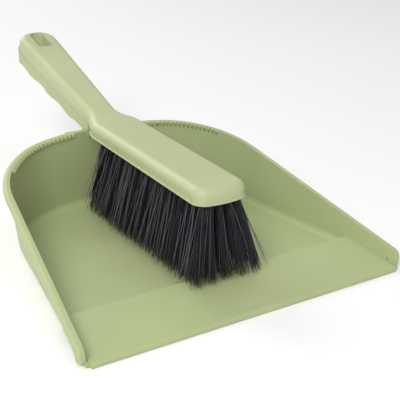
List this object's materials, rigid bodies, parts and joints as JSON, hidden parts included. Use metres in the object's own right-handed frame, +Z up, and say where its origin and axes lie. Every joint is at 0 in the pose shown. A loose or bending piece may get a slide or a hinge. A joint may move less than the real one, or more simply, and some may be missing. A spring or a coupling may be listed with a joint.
{
  "type": "dust pan and brush set",
  "caption": "Moulded dust pan with raised rim, front ramp and soft lip, and a hand brush whose handle nests on the pan's own handle.",
  "frame": {"origin": "on the pan's flat bottom, in the middle of its width, 110 mm behind the front edge of the lip", "axes": "+Z up, +Y from the lip towards the handles, +X to the right when the pan is seen from its lip"},
  "size_m": [0.2634, 0.374, 0.1144],
  "materials": {
    "pan_plastic": "satin",
    "lip_rubber": "matte",
    "brush_plastic": "satin",
    "bristle": "satin",
    "anchor_wire": "satin"
  },
  "bodies": {
    "pan": {"dust_pan": "pan_plastic", "front_lip": "lip_rubber"},
    "brush": {"brush_body": "brush_plastic", "tuft_anchors": "anchor_wire", "bristle_row_01": "bristle", "bristle_row_02": "bristle", "bristle_row_03": "bristle", "bristle_row_04": "bristle", "bristle_row_05": "bristle", "bristle_row_06": "bristle", "bristle_row_07": "bristle", "bristle_row_08": "bristle", "bristle_row_09": "bristle", "bristle_row_10": "bristle", "bristle_row_11": "bristle", "bristle_row_12": "bristle", "bristle_row_13": "bristle", "bristle_row_14": "bristle", "bristle_row_15": "bristle", "bristle_row_16": "bristle", "bristle_row_17": "bristle", "bristle_row_18": "bristle", "bristle_row_19": "bristle"}
  },
  "joints": [
    {"name": "brush_lift", "type": "slide", "parent": "pan", "child": "brush", "axis": [0, -0.225, 0.9744], "range_m": [0, 0.15]}
  ]
}
